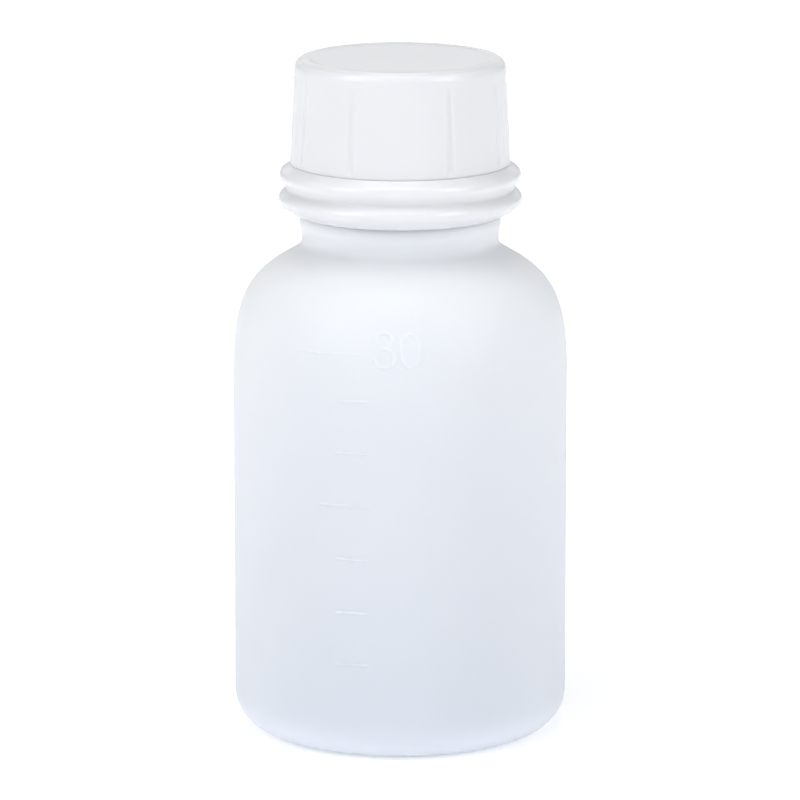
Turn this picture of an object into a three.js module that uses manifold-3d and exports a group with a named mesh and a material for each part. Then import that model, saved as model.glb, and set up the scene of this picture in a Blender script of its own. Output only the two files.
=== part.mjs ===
// A 30 mL translucent narrow-mouth bottle with a screw cap, a captive double-beaded
// tamper ring and a soft sealing insert. Millimetres, +Z up, origin at the centre of the foot.
import * as THREE from 'three';
import { mergeVertices } from 'three/addons/utils/BufferGeometryUtils.js';
import Module from 'manifold-3d';

const wasm = await Module();
wasm.setup();

// ---- driving dimensions -------------------------------------------------
const BODY_R = 16.65; // outer radius of the cylindrical wall
const FOOT_R = 12.7; // outer edge of the flat foot annulus
const FOOT_IN_R = 11.5; // inner edge of the flat foot annulus
const CORNER_R = 3.935; // rounding between the foot and the wall
const PUSH_UP = 1.35; // height of the raised centre of the base
const WALL = 0.9; // thickness of the blown wall
const SHOULDER_Z = 36.5; // where the wall starts to turn into the shoulder
const LEDGE_Z = 52.1; // top of the ledge that carries the tamper ring
const LEDGE_R = 10.0;
const BARREL_R = 8.3; // outside of the threaded finish between the turns
const MOUTH_R = 7.2; // inside of the narrow mouth
const LIP_Z = 65.15; // top of the mouth's lip
const BEAD_R = 9.78; // retaining bead that keeps the ring captive
const THREAD_R = 9.25; // crest of the finish's thread
const PITCH = 3.0; // rise of the thread in one turn
const THREAD_Z = 59.2; // middle of the finish's thread at its start
const THREAD_TURNS = 1.5;
const CAP_BOTTOM = 57.5;
const CAP_TOP = 67.96;
const CAP_BASE_R = 10.95; // outside of the skirt at its lower edge
const CAP_TOP_R = 10.45; // outside of the skirt below the rounded rim
const CAP_RIM = 1.1; // rounding of the crown's rim
const CAP_BORE_R = 9.6; // inside of the skirt between the turns
const CROWN_UNDER = 66.65; // underside of the crown
const CAP_THREAD_R = 8.65; // crest of the cap's inner thread
const CAP_THREAD_TURNS = 1.25;
const GROOVE_AZ = [27, 63, 117, 153, 207, 243, 297, 333]; // degrees from the front
const GROOVE_W = 0.95;
const GROOVE_DEPTH = 0.32;
const MARK_RAISE = 0.18; // how far the raised scale stands off the wall
const MARK_W = 0.2; // thickness of a scale line
const BODY_SEGMENTS = 48;
const CAP_SEGMENTS = 48;

// ---- helpers ------------------------------------------------------------
function weld(geometry) {
  const bare = geometry.clone();
  for (const name of Object.keys(bare.attributes)) if (name !== 'position') bare.deleteAttribute(name);
  const merged = mergeVertices(bare, 1e-4);
  const index = merged.index.array;
  const p = merged.attributes.position;
  const keep = [];
  let volume = 0;
  const a = new THREE.Vector3(), b = new THREE.Vector3(), c = new THREE.Vector3();
  for (let i = 0; i < index.length; i += 3) {
    const [u, v, w] = [index[i], index[i + 1], index[i + 2]];
    if (u === v || v === w || w === u) continue; // collapsed on the axis
    keep.push(u, v, w);
    a.fromBufferAttribute(p, u);
    b.fromBufferAttribute(p, v);
    c.fromBufferAttribute(p, w);
    volume += a.dot(b.cross(c));
  }
  if (volume < 0) for (let i = 0; i < keep.length; i += 3) [keep[i + 1], keep[i + 2]] = [keep[i + 2], keep[i + 1]];
  merged.setIndex(keep);
  return merged;
}

function solid(geometry) {
  const g = weld(geometry);
  return new wasm.Manifold(new wasm.Mesh({
    numProp: 3,
    vertProperties: new Float32Array(g.attributes.position.array),
    triVerts: new Uint32Array(g.index.array),
  }));
}

function geometryOf(manifold) {
  const mesh = manifold.getMesh();
  const g = new THREE.BufferGeometry();
  const n = mesh.vertProperties.length / mesh.numProp;
  const position = new Float32Array(n * 3);
  for (let i = 0; i < n; i++) for (let k = 0; k < 3; k++) position[3 * i + k] = mesh.vertProperties[i * mesh.numProp + k];
  g.setAttribute('position', new THREE.BufferAttribute(position, 3));
  g.setIndex(new THREE.BufferAttribute(new Uint32Array(mesh.triVerts), 1));
  g.computeVertexNormals();
  return g;
}

// [radius, height] points turned about Z; the profile starts and ends on the axis, or closes on itself
function revolve(points, segments) {
  const g = new THREE.LatheGeometry(points.map(([r, z]) => new THREE.Vector2(r, z)), segments);
  g.rotateX(Math.PI / 2);
  return g;
}

function arc(cr, cz, radius, from, to, steps) {
  const out = [];
  for (let i = 0; i <= steps; i++) {
    const t = THREE.MathUtils.degToRad(from + ((to - from) * i) / steps);
    out.push([cr + radius * Math.cos(t), cz + radius * Math.sin(t)]);
  }
  return out;
}

// A ridge of trapezoid section that climbs round the axis; its ends fade into the wall.
// dir = 1 stands outwards from the wall, -1 inwards.
function helix({ wallR, crestR, rootW, crestW, z0, from, turns, sink = 0.3 }) {
  const dir = Math.sign(crestR - wallR);
  const h = Math.abs(crestR - wallR);
  const steps = Math.round(turns * 24);
  const section = new THREE.Shape();
  section.moveTo(-sink, -rootW / 2);
  section.lineTo(0, -rootW / 2);
  section.lineTo(h, -crestW / 2);
  section.lineTo(h, crestW / 2);
  section.lineTo(0, rootW / 2);
  section.lineTo(-sink, rootW / 2);
  section.closePath();
  const g = new THREE.ExtrudeGeometry(section, { depth: 1, steps, bevelEnabled: false });
  const p = g.attributes.position;
  for (let i = 0; i < p.count; i++) {
    const t = p.getZ(i);
    const angle = from + t * turns * 2 * Math.PI;
    const end = Math.min(1, Math.min(t, 1 - t) * turns * 9 + 0.02);
    const x = p.getX(i);
    const rise = x > 0 ? x * end : x;
    const r = wallR + dir * rise;
    const z = z0 + (PITCH * (angle)) / (2 * Math.PI) + p.getY(i) * (0.45 + 0.55 * end);
    // angle 0 is the front (-Y), growing anticlockwise seen from above
    p.setXYZ(i, r * Math.sin(angle), -r * Math.cos(angle), z);
  }
  return g;
}

// closed outline of a stroke of even width along a line of [x, z] points
function stroke(points, width, closed = false) {
  const v = points.map(([x, z]) => new THREE.Vector2(x, z));
  const n = v.length;
  const left = [], right = [];
  for (let i = 0; i < n; i++) {
    const prev = closed ? v[(i - 1 + n) % n] : v[Math.max(0, i - 1)];
    const next = closed ? v[(i + 1) % n] : v[Math.min(n - 1, i + 1)];
    const t = next.clone().sub(prev).normalize();
    const q = new THREE.Vector2(-t.y, t.x).multiplyScalar(width / 2);
    left.push(v[i].clone().add(q));
    right.push(v[i].clone().sub(q));
  }
  if (!closed) return new THREE.Shape([...left, ...right.reverse()]);
  const area = THREE.ShapeUtils.area(left), area2 = THREE.ShapeUtils.area(right);
  const [outer, inner] = Math.abs(area) > Math.abs(area2) ? [left, right] : [right, left];
  const shape = new THREE.Shape(outer);
  shape.holes.push(new THREE.Path(inner));
  return shape;
}

// a prism of an [x, z] outline, standing through the front of the bottle
function frontPrism(shape) {
  const g = new THREE.ExtrudeGeometry(shape, { depth: 8, bevelEnabled: false });
  g.rotateX(Math.PI / 2); // shape y becomes z, depth runs along -Y
  g.translate(0, -10.5, 0);
  return g;
}

// ---- bottle -------------------------------------------------------------
const wallOutline = [ // from the corner up to the root of the neck
  [BODY_R, CORNER_R], [BODY_R, SHOULDER_Z], [16.57, 38.9], [16.38, 41.0], [16.0, 42.85], [15.38, 44.4],
  [14.45, 45.85], [13.05, 47.1], [11.1, 48.3], [10.0, 49.05], [9.77, 49.6],
];
const outer = [
  [0, PUSH_UP], [9.2, 1.05], [10.8, 0.35], [FOOT_IN_R, 0],
  ...arc(FOOT_R + 0.015, CORNER_R, CORNER_R, -90, 0, 6).slice(0, -1),
  ...wallOutline,
  [9.8, 50.5], [LEDGE_R, 51.3], [LEDGE_R, LEDGE_Z],
  [9.1, LEDGE_Z], [9.1, 54.3], [BEAD_R, 54.45], [BEAD_R, 54.85], [BARREL_R, 56.3],
  [BARREL_R, 64.75], [7.95, LIP_Z],
];
const inner = [
  [7.45, LIP_Z], [MOUTH_R, 64.85], [MOUTH_R, 55.2], [8.3, 52.0], [8.8, 50.5], [8.8, 49.6],
  [9.2, 48.75], [11.3, 47.2], [13.25, 45.55], [14.4, 44.0], [15.1, 42.3], [15.55, 39.9],
  [BODY_R - WALL, 37.2], [BODY_R - WALL, 4.2],
  ...arc(FOOT_R, 4.15, 3.05, 0, -90, 4).slice(1),
  [11.4, 1.15], [9.0, 2.05], [0, 2.4],
];
let bottle = solid(revolve([...outer, ...inner], BODY_SEGMENTS));
bottle = bottle.add(solid(helix({
  wallR: BARREL_R, crestR: THREAD_R, rootW: 1.6, crestW: 0.75, z0: THREAD_Z, from: 0, turns: THREAD_TURNS,
})));

// raised scale: strokes cut to a thin skin that follows the wall
const skinWall = [[BODY_R, 8], ...wallOutline.slice(1, 6)];
const skin = solid(revolve([
  ...skinWall.map(([r, z]) => [r + MARK_RAISE, z]),
  ...skinWall.slice().reverse().map(([r, z]) => [r - 0.35, z]),
  [BODY_R + MARK_RAISE, 8],
], BODY_SEGMENTS));
const LINES = [ // [left x, right x, height]
  [-9.3, -3.0, 41.15], [-6.3, -3.1, 36.6], [-6.3, -3.1, 31.35], [-7.9, -2.95, 26.1],
  [-6.3, -3.1, 20.75], [-6.3, -3.1, 15.35], [-6.3, -3.1, 10.1],
];
const three = stroke([
  [-2.5, 42.6], [-2.3, 43.0], [-1.95, 43.25], [-1.5, 43.33], [-1.08, 43.15], [-0.85, 42.75], [-0.88, 42.35],
  [-1.12, 42.0], [-1.5, 41.85], [-1.05, 41.72], [-0.72, 41.4], [-0.64, 40.95], [-0.75, 40.5], [-1.05, 40.15],
  [-1.5, 40.0], [-1.98, 40.08], [-2.35, 40.35], [-2.52, 40.75],
], 0.36);
const zeroLine = [];
for (let i = 0; i < 24; i++) {
  const t = (i / 24) * 2 * Math.PI;
  zeroLine.push([0.95 + 0.9 * Math.cos(t), 41.66 + 1.63 * Math.sin(t)]);
}
const zero = stroke(zeroLine, 0.36, true);
const glyphs = [three, zero, ...LINES.map(([x0, x1, z]) => new THREE.Shape([
  new THREE.Vector2(x0, z - MARK_W / 2), new THREE.Vector2(x1, z - MARK_W / 2),
  new THREE.Vector2(x1, z + MARK_W / 2), new THREE.Vector2(x0, z + MARK_W / 2),
]))];
for (const glyph of glyphs) bottle = bottle.add(solid(frontPrism(glyph)).intersect(skin));

// ---- tamper ring --------------------------------------------------------
const ringProfile = [
  [9.45, 52.4], [10.3, 52.4], [11.45, 53.0], [11.93, 53.4], [12.1, 53.9], [11.9, 54.35], [11.37, 55.0],
  [11.8, 55.75], [12.0, 56.25], [11.75, 56.78], [11.0, 57.2], [10.1, 57.2], [10.1, 54.1], [9.45, 54.0], [9.45, 52.4],
];
const ring = solid(revolve(ringProfile, CAP_SEGMENTS));

// ---- screw cap ----------------------------------------------------------
const capProfile = [
  [0, CAP_TOP - 0.1], [8.7, CAP_TOP - 0.1],
  ...arc(CAP_TOP_R - CAP_RIM, CAP_TOP - CAP_RIM, CAP_RIM, 90, 0, 4),
  [10.67, 62.2], [CAP_BASE_R, 58.0], [CAP_BASE_R - 0.05, CAP_BOTTOM],
  [CAP_BORE_R, CAP_BOTTOM], [CAP_BORE_R - 0.1, 65.8],
  [8.9, CROWN_UNDER], [0, CROWN_UNDER],
];
let cap = solid(revolve(capProfile, CAP_SEGMENTS));
const grooveShape = new THREE.Shape([
  new THREE.Vector2(-GROOVE_W / 2 - 0.12, 0.6), new THREE.Vector2(-GROOVE_W / 2 + 0.1, -GROOVE_DEPTH),
  new THREE.Vector2(GROOVE_W / 2 - 0.1, -GROOVE_DEPTH), new THREE.Vector2(GROOVE_W / 2 + 0.12, 0.6),
]);
for (const azimuth of GROOVE_AZ) {
  const g = new THREE.ExtrudeGeometry(grooveShape, { depth: 8.2, bevelEnabled: false });
  const p = g.attributes.position;
  for (let i = 0; i < p.count; i++) { // x across, y outwards from the tapered wall, z up
    const z = 57.95 + p.getZ(i);
    const wall = 10.9 - ((z - 58.2) * 0.45) / 8.6;
    p.setXYZ(i, p.getX(i), -(wall + p.getY(i)), z);
  }
  g.rotateZ(THREE.MathUtils.degToRad(azimuth));
  cap = cap.subtract(solid(g));
}
cap = cap.add(solid(helix({
  wallR: CAP_BORE_R - 0.05, crestR: CAP_THREAD_R, rootW: 1.55, crestW: 0.7, z0: THREAD_Z - 1.32,
  from: 2 * Math.PI * ((58.75 - (THREAD_Z - 1.32)) / PITCH), turns: CAP_THREAD_TURNS,
})));

// ---- sealing insert -----------------------------------------------------
const insertProfile = [
  [0, 66.35], [8.7, 66.35], [8.7, 65.45], [6.85, 65.45], [6.85, 63.2], [6.5, 62.4], [6.1, 62.4], [5.9, 65.4], [0, 65.4],
];
const insert = solid(revolve(insertProfile, 36));

// ---- scene graph --------------------------------------------------------
function piece(name, manifold, color, roughness, opacity) {
  const mesh = new THREE.Mesh(
    geometryOf(manifold),
    new THREE.MeshStandardMaterial({ color, roughness, metalness: 0, transparent: opacity < 1, opacity }),
  );
  mesh.name = name;
  return mesh;
}

const group = new THREE.Group();
group.name = 'narrow_mouth_bottle';
const body = piece('bottle', bottle, 0xe9eef6, 0.32, 0.8);
const tamperRing = piece('tamper_ring', ring, 0xe8eaf2, 0.3, 0.85);
const closure = new THREE.Group(); // rises and turns together on the thread
const screwCap = piece('screw_cap', cap, 0xe8eaf2, 0.28, 0.85);
const sealInsert = piece('seal_insert', insert, 0xf2f4f6, 0.4, 0.9);
closure.add(screwCap, sealInsert);
group.add(body, tamperRing, closure);

export default group;
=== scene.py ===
import math
import bpy
import numpy as np
from mathutils import Matrix, Vector


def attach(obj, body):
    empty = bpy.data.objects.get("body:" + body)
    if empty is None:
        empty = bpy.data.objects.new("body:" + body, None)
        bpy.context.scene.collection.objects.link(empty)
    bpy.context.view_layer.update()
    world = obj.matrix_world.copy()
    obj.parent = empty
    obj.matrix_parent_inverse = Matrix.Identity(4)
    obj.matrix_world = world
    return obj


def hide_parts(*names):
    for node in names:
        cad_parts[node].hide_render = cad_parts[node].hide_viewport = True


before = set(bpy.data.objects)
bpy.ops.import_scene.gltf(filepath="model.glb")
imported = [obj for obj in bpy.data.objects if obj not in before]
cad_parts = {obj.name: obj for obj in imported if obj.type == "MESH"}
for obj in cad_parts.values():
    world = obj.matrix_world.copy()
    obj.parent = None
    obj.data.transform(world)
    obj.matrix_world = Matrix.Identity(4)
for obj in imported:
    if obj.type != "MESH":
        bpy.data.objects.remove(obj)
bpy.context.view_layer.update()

# ---------------------------------------------------------------- camera
# Azimuth 0, looking along +Y and 12.2 degrees down on a bottle 68 mm tall, from 0.6 m.
scene = bpy.context.scene
cam_data = bpy.data.cameras.new("photo_camera")
cam = bpy.data.objects.new("photo_camera", cam_data)
scene.collection.objects.link(cam)
cam.location = (-0.00003, -0.5906, 0.1608)
cam.rotation_euler = (math.radians(90 - 12.185), 0.0, 0.0)
cam_data.sensor_width = 36.0
cam_data.lens = 36.0 * 6041.9 / 800.0
cam_data.clip_start = 0.01
cam_data.clip_end = 20.0
scene.camera = cam

# ---------------------------------------------------------------- dimensions, in millimetres
MM = 0.001
BODY_R = 16.65
CORNER_R = 3.935
PITCH = 3.0
THREAD_Z = 59.2


# ---------------------------------------------------------------- mesh helpers
def curve(points, per=6, tension=0.5):
    """A smooth line through [r, z] points (centripetal Catmull-Rom), the ends included."""
    p = np.array(points, float)
    p = np.vstack([2 * p[0] - p[1], p, 2 * p[-1] - p[-2]])
    out = []
    for i in range(1, len(p) - 2):
        p0, p1, p2, p3 = p[i - 1], p[i], p[i + 1], p[i + 2]
        t0 = 0.0
        t1 = t0 + max(np.linalg.norm(p1 - p0), 1e-9) ** tension
        t2 = t1 + max(np.linalg.norm(p2 - p1), 1e-9) ** tension
        t3 = t2 + max(np.linalg.norm(p3 - p2), 1e-9) ** tension
        for k in range(per):
            t = t1 + (t2 - t1) * k / per
            a1 = (t1 - t) / (t1 - t0) * p0 + (t - t0) / (t1 - t0) * p1
            a2 = (t2 - t) / (t2 - t1) * p1 + (t - t1) / (t2 - t1) * p2
            a3 = (t3 - t) / (t3 - t2) * p2 + (t - t2) / (t3 - t2) * p3
            b1 = (t2 - t) / (t2 - t0) * a1 + (t - t0) / (t2 - t0) * a2
            b2 = (t3 - t) / (t3 - t1) * a2 + (t - t1) / (t3 - t1) * a3
            out.append((t2 - t) / (t2 - t1) * b1 + (t - t1) / (t2 - t1) * b2)
    out.append(p[-2])
    return [tuple(q) for q in out]


def arc(cr, cz, radius, a0, a1, steps):
    return [
        (cr + radius * math.cos(math.radians(a0 + (a1 - a0) * i / steps)),
         cz + radius * math.sin(math.radians(a0 + (a1 - a0) * i / steps)))
        for i in range(steps + 1)
    ]


def fillet(points, radius, steps=4):
    """Rounds every corner of an open [r, z] line, except its ends, where radius is a number or one for each corner."""
    p = [np.array(q, float) for q in points]
    radii = radius if hasattr(radius, "__len__") else [radius] * (len(p) - 2)
    out = [tuple(p[0])]
    for i in range(1, len(p) - 1):
        a, b = p[i - 1] - p[i], p[i + 1] - p[i]
        la, lb = np.linalg.norm(a), np.linalg.norm(b)
        if la < 1e-9 or lb < 1e-9 or radii[i - 1] <= 0:
            out.append(tuple(p[i]))
            continue
        a, b = a / la, b / lb
        c = float(np.clip(a @ b, -1, 1))
        half = math.acos(c) / 2
        if half > math.radians(86):
            out.append(tuple(p[i]))
            continue
        cut = min(radii[i - 1] / math.tan(half), 0.45 * la, 0.45 * lb)
        r = cut * math.tan(half)
        centre = p[i] + (a + b) / np.linalg.norm(a + b) * (r / math.sin(half))
        s, e = p[i] + a * cut - centre, p[i] + b * cut - centre
        for k in range(steps + 1):
            t = k / steps
            w = math.acos(float(np.clip(s @ e / (np.linalg.norm(s) * np.linalg.norm(e)), -1, 1)))
            if w < 1e-6:
                q = s * (1 - t) + e * t
            else:
                q = (math.sin((1 - t) * w) * s + math.sin(t * w) * e) / math.sin(w)
            out.append(tuple(centre + q))
    out.append(tuple(p[-1]))
    return out


def refine(points, z_lines, gap):
    """Adds points to a rising [r, z] line so that no step is longer than gap(z)."""
    out = [points[0]]
    for (r0, z0), (r1, z1) in zip(points, points[1:]):
        length = math.hypot(r1 - r0, z1 - z0)
        n = max(1, int(math.ceil(length / gap((z0 + z1) / 2))))
        for k in range(1, n + 1):
            out.append((r0 + (r1 - r0) * k / n, z0 + (z1 - z0) * k / n))
    return out


def lathe(name, profile, thetas, shape=None, close=False, widest=99.0):
    """A turned mesh. profile is [r, z] in mm, outwards-facing side on its right as it is walked; it starts and ends on
    the axis, or closes on itself. thetas are angles from the front (-Y) towards +X. shape(theta, r, z, index) may move
    points: it gets and gives arrays."""
    prof = np.array(profile, float)
    th = np.array(thetas, float)
    T, n = len(th), len(prof)
    R = np.repeat(prof[:, 0][:, None], T, 1)
    Z = np.repeat(prof[:, 1][:, None], T, 1)
    TH = np.repeat(th[None, :], n, 0)
    if shape is not None:
        R, Z, TH = shape(TH, R, Z, np.repeat(np.arange(n)[:, None], T, 1))
    R = np.minimum(R, widest)
    X, Y = R * np.sin(TH), -R * np.cos(TH)
    verts, index = [], np.full((n, T), -1)
    for i in range(n):
        if prof[i, 0] < 1e-9:
            verts.append((0.0, 0.0, float(Z[i, 0])))
            index[i, :] = len(verts) - 1
        else:
            base = len(verts)
            verts.extend(zip(X[i].tolist(), Y[i].tolist(), Z[i].tolist()))
            index[i, :] = base + np.arange(T)
    rows = range(n if close else n - 1)
    faces = []
    for i in rows:
        a, b = index[i], index[(i + 1) % n]
        for j in range(T):
            k = (j + 1) % T
            if prof[i, 0] < 1e-9:
                faces.append((a[j], b[k], b[j]))
            elif prof[(i + 1) % n, 0] < 1e-9:
                faces.append((a[j], a[k], b[j]))
            else:
                faces.append((a[j], a[k], b[k], b[j]))
    mesh = bpy.data.meshes.new(name)
    mesh.from_pydata([(x * MM, y * MM, z * MM) for x, y, z in verts], [], [tuple(int(q) for q in f) for f in faces])
    mesh.validate()
    # faces out: the signed volume is positive
    co = np.empty(len(mesh.vertices) * 3)
    mesh.vertices.foreach_get("co", co)
    co = co.reshape(-1, 3)
    mesh.calc_loop_triangles()
    tri = np.empty(len(mesh.loop_triangles) * 3, int)
    mesh.loop_triangles.foreach_get("vertices", tri)
    tri = tri.reshape(-1, 3)
    if float(np.einsum("ij,ij->i", co[tri[:, 0]], np.cross(co[tri[:, 1]], co[tri[:, 2]])).sum()) < 0:
        mesh.flip_normals()
    mesh.polygons.foreach_set("use_smooth", [True] * len(mesh.polygons))
    mesh.update()
    obj = bpy.data.objects.new(name, mesh)
    scene.collection.objects.link(obj)
    return obj


def even(n):
    return [2 * math.pi * i / n for i in range(n)]


def smooth_step(x, a, b):
    t = np.clip((x - a) / (b - a), 0, 1)
    return t * t * (3 - 2 * t)


def ridge(axial, half_root, half_crest, height):
    """Height of a rounded trapezoid ridge at a distance from its middle."""
    return height * (1 - smooth_step(np.abs(axial), half_crest, half_root))


def thread_height(th, z, z0, start, turns, half_root, half_crest, height, fade=0.45):
    """Height of a helical ridge at angle th (0 at the front) and height z."""
    out = np.zeros_like(z)
    lo, hi = start, start + turns * 2 * math.pi
    base = np.mod(th, 2 * math.pi)
    for k in range(-2, 8):
        a = base + 2 * math.pi * k
        centre = z0 + PITCH * a / (2 * math.pi)
        inside = smooth_step(a, lo, lo + fade) * (1 - smooth_step(a, hi - fade, hi))
        out = np.maximum(out, inside * ridge(z - centre, half_root, half_crest, height))
    return out


# ---------------------------------------------------------------- materials
def node(nt, kind, x, y, **sockets):
    n = nt.nodes.new(kind)
    n.location = (x, y)
    for k, v in sockets.items():
        n.inputs[k.replace("_", " ")].default_value = v
    return n


def plastic(name, low, high, rough, weight, radius, scale, spec=0.5, ior=1.5, transmission=0.0, wave=0.0, grain=0.012, grain_scale=9000.0, streak=0.0, vary=0.06,
            painted_foot_shade=None):
    """Milky plastic: light scatters under a faintly uneven, softly shining skin."""
    m = bpy.data.materials.new(name)
    m.use_nodes = True
    nt = m.node_tree
    nt.nodes.clear()
    out = node(nt, "ShaderNodeOutputMaterial", 900, 0)
    b = node(nt, "ShaderNodeBsdfPrincipled", 600, 0)
    nt.links.new(b.outputs["BSDF"], out.inputs["Surface"])
    b.inputs["IOR"].default_value = ior
    b.inputs["Specular IOR Level"].default_value = spec
    b.inputs["Subsurface Weight"].default_value = weight
    b.inputs["Subsurface Radius"].default_value = radius
    b.inputs["Subsurface Scale"].default_value = scale
    b.inputs["Transmission Weight"].default_value = transmission
    coord = node(nt, "ShaderNodeTexCoord", -1200, 0)
    # slow cloudiness of the melt
    cloud = node(nt, "ShaderNodeTexNoise", -800, 200, Scale=90.0, Detail=3.0, Roughness=0.5)
    nt.links.new(coord.outputs["Object"], cloud.inputs["Vector"])
    ramp = nt.nodes.new("ShaderNodeMix")
    ramp.data_type = "RGBA"
    ramp.location = (-300, 200)
    ramp.inputs[6].default_value = (*low, 1)
    ramp.inputs[7].default_value = (*high, 1)
    nt.links.new(cloud.outputs["Fac"], ramp.inputs[0])
    if painted_foot_shade:
        # painted shade: the base colour turns bluer and darker towards the foot, standing in for the weaker light low
        # on the body
        place = node(nt, "ShaderNodeSeparateXYZ", -1000, 450)
        nt.links.new(coord.outputs["Object"], place.inputs["Vector"])
        rise = node(nt, "ShaderNodeMapRange", -800, 450)
        rise.inputs["From Min"].default_value = 0.004
        rise.inputs["From Max"].default_value = 0.046
        rise.inputs["To Min"].default_value = 0.0
        rise.inputs["To Max"].default_value = 1.0
        nt.links.new(place.outputs["Z"], rise.inputs["Value"])
        foot_shade_mix = nt.nodes.new("ShaderNodeMix")
        foot_shade_mix.data_type = "RGBA"
        foot_shade_mix.location = (-100, 400)
        foot_shade_mix.inputs[6].default_value = (*painted_foot_shade, 1)
        nt.links.new(rise.outputs["Result"], foot_shade_mix.inputs[0])
        nt.links.new(ramp.outputs[2], foot_shade_mix.inputs[7])
        nt.links.new(foot_shade_mix.outputs[2], b.inputs["Base Color"])
    else:
        nt.links.new(ramp.outputs[2], b.inputs["Base Color"])
    # finish: fine grain in the gloss
    fine = node(nt, "ShaderNodeTexNoise", -800, -100, Scale=1400.0, Detail=4.0, Roughness=0.6)
    nt.links.new(coord.outputs["Object"], fine.inputs["Vector"])
    rr = node(nt, "ShaderNodeMapRange", -300, -100)
    rr.inputs["To Min"].default_value = rough - vary
    rr.inputs["To Max"].default_value = rough + vary
    nt.links.new(fine.outputs["Fac"], rr.inputs["Value"])
    nt.links.new(rr.outputs["Result"], b.inputs["Roughness"])
    # bump: orange peel, slow waviness of a blown wall, faint upright draw lines
    peel = node(nt, "ShaderNodeTexNoise", -800, -400, Scale=grain_scale / 10, Detail=3.0, Roughness=0.55)
    nt.links.new(coord.outputs["Object"], peel.inputs["Vector"])
    bump = node(nt, "ShaderNodeBump", 200, -400, Strength=0.25, Distance=grain * MM)
    nt.links.new(peel.outputs["Fac"], bump.inputs["Height"])
    last = bump
    if wave:
        slow = node(nt, "ShaderNodeTexNoise", -800, -650, Scale=140.0, Detail=2.0, Roughness=0.4)
        nt.links.new(coord.outputs["Object"], slow.inputs["Vector"])
        b2 = node(nt, "ShaderNodeBump", 200, -650, Strength=0.5, Distance=wave * MM)
        nt.links.new(slow.outputs["Fac"], b2.inputs["Height"])
        nt.links.new(b2.outputs["Normal"], bump.inputs["Normal"])
    if streak:
        stretch = node(nt, "ShaderNodeMapping", -1000, -900)
        stretch.inputs["Scale"].default_value = (900.0, 900.0, 22.0)
        nt.links.new(coord.outputs["Object"], stretch.inputs["Vector"])
        lines = node(nt, "ShaderNodeTexNoise", -800, -900, Scale=1.0, Detail=2.0, Roughness=0.5)
        nt.links.new(stretch.outputs["Vector"], lines.inputs["Vector"])
        b3 = node(nt, "ShaderNodeBump", 200, -900, Strength=0.35, Distance=streak * MM)
        nt.links.new(lines.outputs["Fac"], b3.inputs["Height"])
        if wave:
            nt.links.new(b3.outputs["Normal"], b2.inputs["Normal"])
        else:
            nt.links.new(b3.outputs["Normal"], bump.inputs["Normal"])
    nt.links.new(last.outputs["Normal"], b.inputs["Normal"])
    return m


# the wall's colour holds painted shade, bluer and darker towards the foot
blown = plastic("blown_wall", (0.81, 0.845, 0.95), (0.845, 0.875, 0.96), 0.34, 1.0, (1.0, 1.0, 1.0), 0.0016, spec=0.04,
                transmission=0.11, wave=0.05, grain=0.005, streak=0.008, vary=0.04, painted_foot_shade=(0.69, 0.728, 0.808))
closure = plastic("closure_plastic", (0.748, 0.76, 0.785), (0.768, 0.78, 0.801), 0.24, 1.0, (1.0, 1.0, 1.0), 0.0004, spec=0.4,
                  transmission=0.06, wave=0.012, grain=0.0007, vary=0.012)
soft = plastic("soft_insert", (0.86, 0.87, 0.88), (0.9, 0.905, 0.915), 0.45, 1.0, (1.0, 1.0, 1.0), 0.001, grain=0.006)

# ---------------------------------------------------------------- bottle
corner = arc(BODY_R - CORNER_R, CORNER_R, CORNER_R, -90, 0, 22)
shoulder = curve([
    (BODY_R, 35.0), (BODY_R, 36.5), (16.62, 37.7), (16.57, 38.9), (16.48, 40.1), (16.34, 41.2), (16.12, 42.3),
    (15.8, 43.35), (15.36, 44.4), (14.78, 45.35), (14.02, 46.25), (13.1, 47.03), (12.1, 47.72), (11.15, 48.28),
    (10.42, 48.75), (9.98, 49.15), (9.8, 49.65), (9.79, 50.3), (9.85, 50.8), (9.96, 51.2), (9.99, 51.6),
], 4)
OUTER = (
    curve([(0, 1.34), (3, 1.33), (6, 1.26), (8.3, 1.08), (9.8, 0.74), (10.7, 0.32), (11.4, 0.03)], 3)
    + [(11.6, 0.0), (12.2, 0.0)]
    + corner[1:]
)
WALL = [(BODY_R, 7.0), (BODY_R, 8.0), (BODY_R, 35.0)] + shoulder[1:]
FINISH = fillet([
    (9.99, 51.6), (9.99, 52.37), (9.1, 52.37), (9.1, 54.3), (9.77, 54.42), (9.77, 54.85), (8.3, 56.25), (8.3, 65.13), (7.2, 65.13),
    (7.2, 55.2),
], [0.05, 0.1, 0.1, 0.06, 0.12, 0.3, 0.0, 0.28, 0.3])
INNER = curve([(7.2, 55.2), (7.55, 53.9), (8.2, 52.3), (8.68, 51.0), (8.86, 50.0), (8.98, 49.3), (9.3, 48.72), (9.95, 48.12), (10.9, 47.55), (11.9, 46.88), (12.8, 46.1),
               (13.6, 45.2), (14.25, 44.2), (14.75, 43.0), (15.15, 41.7), (15.44, 40.2), (15.64, 38.5), (15.75, 36.8), (15.75, 35.5)], 2)
INNER = INNER + [(15.75, 24.0), (15.75, 12.0), (15.75, 4.2)] + arc(12.7, 4.15, 3.05, 0, -90, 10)[1:] + curve(
    [(12.5, 1.1), (11.6, 1.14), (10.7, 1.42), (9.6, 1.82), (8, 2.12), (5, 2.32), (0, 2.38)], 2)[1:]

LINES = [(-9.3, -3.3, 41.15), (-6.3, -3.1, 36.6), (-6.3, -3.1, 31.35), (-7.9, -2.95, 26.1), (-6.3, -3.1, 20.75), (-6.3, -3.1, 15.35), (-6.3, -3.1, 10.1)]
RAISE = 0.11
LINE_W = 0.2
DIGIT_W = 0.34


def wall_gap(z):
    if 39.5 < z < 43.8:
        return 0.086
    for _, _, lz in LINES:
        if abs(z - lz) < 0.28:
            return 0.062
    if z < 8 or z > 43.8:
        return 0.6
    return 1.6


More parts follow.
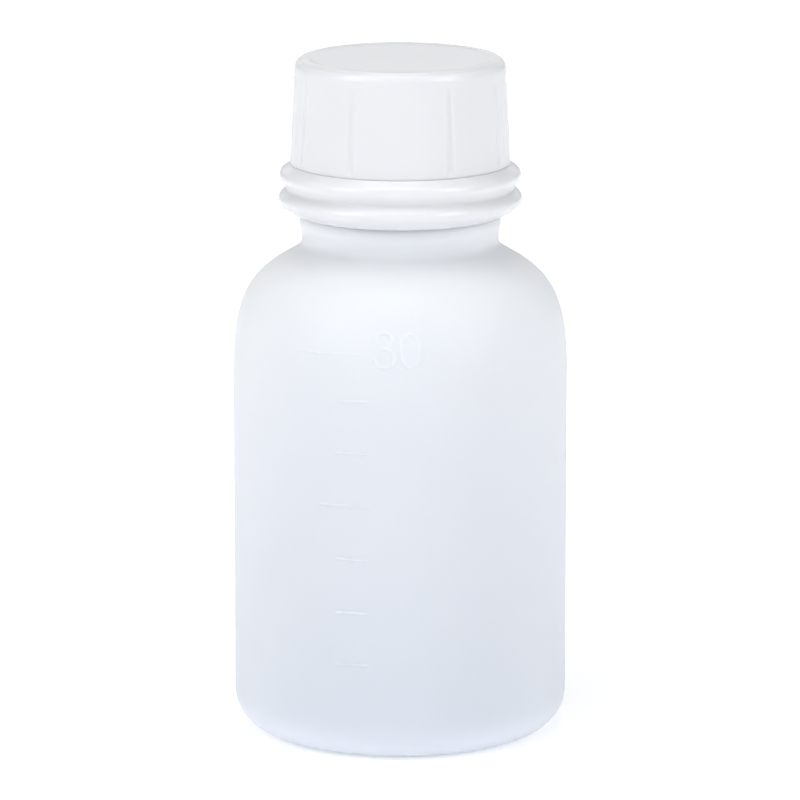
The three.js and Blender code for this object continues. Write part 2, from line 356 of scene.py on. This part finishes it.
def rising(points):
    """Splits the wall's line at the scale so that the fine rows start and stop where they are needed."""
    cuts = sorted([39.5, 43.8] + [lz + s * 0.28 for _, _, lz in LINES for s in (-1, 1) if not 39.5 < lz < 43.8])
    out = [points[0]]
    for a, b in zip(points, points[1:]):
        inside = [c for c in cuts if a[1] < c < b[1]]
        for c in inside:
            t = (c - a[1]) / (b[1] - a[1])
            out.append((a[0] + (b[0] - a[0]) * t, c))
        out.append(b)
    return out


wall_line = refine(rising([OUTER[-1]] + WALL), None, wall_gap)
# the mouth's inner wall needs no fine rows
split = next(i for i, q in enumerate(FINISH) if q[0] < 7.3 and q[1] < 64.9)
fine_part = refine(FINISH[:split], None, lambda z: 0.17 if 57.8 < z < 64.6 else 5.0)
PROFILE = OUTER[:-1] + wall_line + fine_part[1:] + FINISH[split:] + INNER[1:]
n_finish0 = len(OUTER) - 1 + len(wall_line)
n_inner0 = n_finish0 + len(fine_part) - 1

# columns: fine across the scale, wider elsewhere
dense = [math.radians(a) for a in np.arange(-34.5, 8.3, 0.27)]
rest = [math.radians(a) for a in np.linspace(8.3, 325.5, 82)[1:-1]]
# keep the four axis directions so that the outline reaches its full width
rest = sorted(set(rest) | {math.radians(90), math.radians(180), math.radians(270)})
COLUMNS = dense + rest


def seg_dist(px, pz, pts):
    d = np.full(px.shape, 9e9)
    for (x0, z0), (x1, z1) in zip(pts, pts[1:]):
        vx, vz = x1 - x0, z1 - z0
        L = vx * vx + vz * vz + 1e-12
        t = np.clip(((px - x0) * vx + (pz - z0) * vz) / L, 0, 1)
        d = np.minimum(d, np.hypot(px - x0 - t * vx, pz - z0 - t * vz))
    return d


THREE = curve([(-2.5, 42.6), (-2.3, 43.0), (-1.95, 43.25), (-1.5, 43.33), (-1.08, 43.15), (-0.85, 42.75), (-0.88, 42.35),
               (-1.12, 42.0), (-1.5, 41.85)], 4) + curve([(-1.5, 41.85), (-1.05, 41.72), (-0.72, 41.4), (-0.64, 40.95), (-0.75, 40.5), (-1.05, 40.15),
               (-1.5, 40.0), (-1.98, 40.08), (-2.35, 40.35), (-2.52, 40.75)], 4)
ZERO = [(0.95 + 0.9 * math.cos(t), 41.66 + 1.63 * math.sin(t)) for t in np.linspace(0, 2 * math.pi, 49)]


def relief(d, half):
    """A moulded stroke's height: flat-topped with rounded flanks."""
    return RAISE * (1 - smooth_step(d, half * 0.45, half * 1.3))


def bottle_shape(TH, R, Z, I):
    R = R.copy()
    X = R * np.sin(TH)
    front = np.cos(TH) > 0
    outer = (I < n_finish0) & (Z > 8)
    h = np.zeros_like(R)
    digits = outer & front & (Z > 39.4) & (Z < 44.0) & (X > -3.2) & (X < 2.6)
    dd = np.minimum(seg_dist(X[digits], Z[digits], THREE), seg_dist(X[digits], Z[digits], ZERO))
    h[digits] = relief(dd, DIGIT_W / 2)
    for x0, x1, lz in LINES:
        near = outer & front & (np.abs(Z - lz) < 0.35) & (X > x0 - 0.5) & (X < x1 + 0.5)
        dl = seg_dist(X[near], Z[near], [(x0 + LINE_W / 2, lz), (x1 - LINE_W / 2, lz)])
        # the long mark is crisp at its outer end and sinks into the wall towards the number
        strength = 0.35 + 0.65 * (1 - smooth_step(X[near], -7.6, -6.2)) if x0 < -9 else 0.75
        h[near] = np.maximum(h[near], strength * relief(dl, LINE_W / 2))
    R += h
    # screw thread on the finish
    fin = (I >= n_finish0) & (I < n_inner0) & (Z > 57.5) & (Z < 64.9) & (R > 8.25)
    R[fin] += thread_height(TH[fin], Z[fin], THREAD_Z, 0.0, 1.5, 0.8, 0.36, 0.92)
    return R, Z, TH


# nothing but the raised scale, which lies inside the wall's square outline, stands out past the wall
bottle = lathe("blown_bottle", [(min(r, BODY_R), z) for r, z in PROFILE], COLUMNS, bottle_shape)
bottle.data.materials.append(blown)
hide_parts("bottle")
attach(bottle, "bottle_body")

# ---------------------------------------------------------------- tamper ring
ring_outer = curve([(10.32, 52.42), (10.75, 52.6), (11.2, 52.85), (11.62, 53.12), (11.9, 53.42), (12.06, 53.75), (12.07, 54.05), (11.93, 54.33),
                    (11.67, 54.6), (11.45, 54.83), (11.38, 55.0), (11.43, 55.2), (11.62, 55.5), (11.84, 55.82), (11.97, 56.12),
                    (11.96, 56.42), (11.82, 56.72), (11.54, 56.96), (11.27, 57.15), (11.08, 57.31)], 4)
RING = ring_outer + fillet([(11.08, 57.31), (11.0, 57.42), (10.15, 57.42), (10.12, 54.1), (9.48, 54.0), (9.48, 52.38), (10.32, 52.42)], 0.1)[1:-1]
ring = lathe("tamper_ring_fine", RING, even(288), None, close=True)
ring.data.materials.append(closure)
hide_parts("tamper_ring")
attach(ring, "bottle_body")

# ---------------------------------------------------------------- screw cap
GROOVES = [27, 63, 117, 153, 207, 243, 297, 333]
cap_wall = [(10.9, 57.43), (10.94, 57.47), (10.94, 57.62), (10.93, 57.9), (10.9, 58.2), (10.79, 60.2), (10.68, 62.2), (10.56, 64.5), (10.45, 66.86)]
# the crown's rounding has a faint line where it meets the rim of the top
CROWN = [(9.35 + rr * math.cos(math.radians(a)), 66.86 + rr * math.sin(math.radians(a)))
         for a in np.linspace(0, 90, 31)[1:] for rr in [1.1 - 0.045 * math.exp(-((a - 55) / 5.5) ** 2)]]
CAP_OUT = refine(cap_wall, None, lambda z: 0.3 if z < 58.8 or z > 65.2 else 0.9) + CROWN
CAP_TOPLINE = curve([(9.35, 67.96), (9.16, 67.95), (8.98, 67.9), (8.82, 67.86), (8.5, 67.85)], 3)[1:] + [(4, 67.85), (0, 67.85)]
CAP_IN = [(0, 66.65), (8.9, 66.65)] + refine(fillet([(8.9, 66.65), (9.45, 66.3), (9.5, 65.6), (9.58, 57.75), (9.8, 57.43)], 0.15)[1:], None,
                                            lambda z: 0.13 if 57.8 < z < 63.4 else 5.0)
CAP = CAP_IN[:]  # from the crown's underside down to the skirt's edge, up the outside and back to the axis
CAP += [(10.9, 57.43)]
CAP += CAP_OUT[1:] + CAP_TOPLINE
n_out0 = len(CAP_IN)


def cap_shape(TH, R, Z, I):
    R = R.copy()
    out = I >= n_out0
    for az in GROOVES:
        d = np.abs((TH - math.radians(az) + math.pi) % (2 * math.pi) - math.pi) * 10.7
        along = smooth_step(Z, 57.6, 58.1) * (1 - smooth_step(Z, 65.7, 66.25))
        depth = (0.09 * (1 - smooth_step(d, 0.05, 0.4)) - 0.015 * (1 - smooth_step(np.abs(d - 0.55), 0.0, 0.2))) * along
        R = np.where(out & (Z < 66.6), R - depth, R)
    inn = (~out) & (Z > 57.7) & (Z < 63.6) & (R > 9.3)
    start = 2 * math.pi * ((58.75 - (THREAD_Z - 1.32)) / PITCH)
    R[inn] -= thread_height(TH[inn], Z[inn], THREAD_Z - 1.32, start, 1.25, 0.77, 0.34, 0.9)
    return R, Z, TH


# columns: finer at the grooves
cols = set()
for i in range(160):
    cols.add(round(360 * i / 160, 4))
for az in GROOVES:
    for k in np.arange(-3.2, 3.21, 0.4):
        cols.add(round(float(az + k), 4))
cap = lathe("screw_cap_fine", CAP, [math.radians(a) for a in sorted(cols)], cap_shape)
cap.data.materials.append(closure)
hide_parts("screw_cap")
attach(cap, "cap_body")

# ---------------------------------------------------------------- sealing insert
INSERT = [(0, 66.6)] + fillet([(0, 66.6), (8.7, 66.6), (8.7, 65.2), (7.0, 65.2), (6.88, 63.2), (6.5, 62.4), (6.1, 62.4), (5.9, 65.35), (0, 65.35)], 0.15)[1:]
insert = lathe("seal_insert_fine", INSERT, even(96))
insert.data.materials.append(soft)
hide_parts("seal_insert")
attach(insert, "insert_body")

# ---------------------------------------------------------------- floor and light
floor_mat = bpy.data.materials.new("pale_floor")
floor_mat.use_nodes = True
fb = floor_mat.node_tree.nodes["Principled BSDF"]
fb.inputs["Base Color"].default_value = (0.94, 0.945, 0.95, 1)
fb.inputs["Roughness"].default_value = 0.85
fb.inputs["Specular IOR Level"].default_value = 0.2
fb.inputs["Emission Color"].default_value = (1.0, 1.0, 1.0, 1)
# the sweep is lit a little more behind the object
fnt = floor_mat.node_tree
f_coord = node(fnt, "ShaderNodeTexCoord", -900, -300)
f_far = node(fnt, "ShaderNodeVectorMath", -700, -300)
f_far.operation = "LENGTH"
fnt.links.new(f_coord.outputs["Object"], f_far.inputs[0])
f_glow = node(fnt, "ShaderNodeMapRange", -500, -300)
f_glow.interpolation_type = "SMOOTHSTEP"
f_glow.inputs["From Min"].default_value = 0.1
f_glow.inputs["From Max"].default_value = 0.45
f_glow.inputs["To Min"].default_value = 0.33
f_glow.inputs["To Max"].default_value = 0.5
fnt.links.new(f_far.outputs["Value"], f_glow.inputs["Value"])
fnt.links.new(f_glow.outputs["Result"], fb.inputs["Emission Strength"])
fm = bpy.data.meshes.new("floor")
fm.from_pydata([(-3, -3, 0), (3, -3, 0), (3, 3, 0), (-3, 3, 0)], [], [(0, 1, 2, 3)])
floor = bpy.data.objects.new("floor", fm)
floor.data.materials.append(floor_mat)
scene.collection.objects.link(floor)

world = bpy.data.worlds.new("studio")
world.use_nodes = True
world.node_tree.nodes["Background"].inputs["Color"].default_value = (0.97, 0.98, 1.0, 1)
world.node_tree.nodes["Background"].inputs["Strength"].default_value = 0.16
scene.world = world


def softbox(name, place, target, w, h, power, colour=(1, 1, 1)):
    d = bpy.data.lights.new(name, "AREA")
    d.shape = "RECTANGLE"
    d.size, d.size_y = w, h
    d.energy = power
    d.color = colour
    o = bpy.data.objects.new(name, d)
    scene.collection.objects.link(o)
    o.location = place
    o.rotation_euler = (Vector(target) - Vector(place)).to_track_quat("-Z", "Y").to_euler()
    return o


softbox("top_soft", (-0.05, -0.15, 0.89), (0, 0, 0.03), 0.6, 0.5, 3.25)
softbox("left_soft", (-0.50, -0.35, 0.37), (0, 0, 0.04), 0.3, 0.5, 2.45)
softbox("right_soft", (0.50, -0.36, 0.37), (0, 0, 0.04), 0.3, 0.5, 2.3)
softbox("back_sweep", (0, 1.2, 0.36), (0, 0, 0.08), 1.3, 0.5, 1.6)

scene.view_settings.view_transform = "Standard"
scene.view_settings.look = "None"
scene.view_settings.exposure = 0.0
scene.view_settings.gamma = 1.0
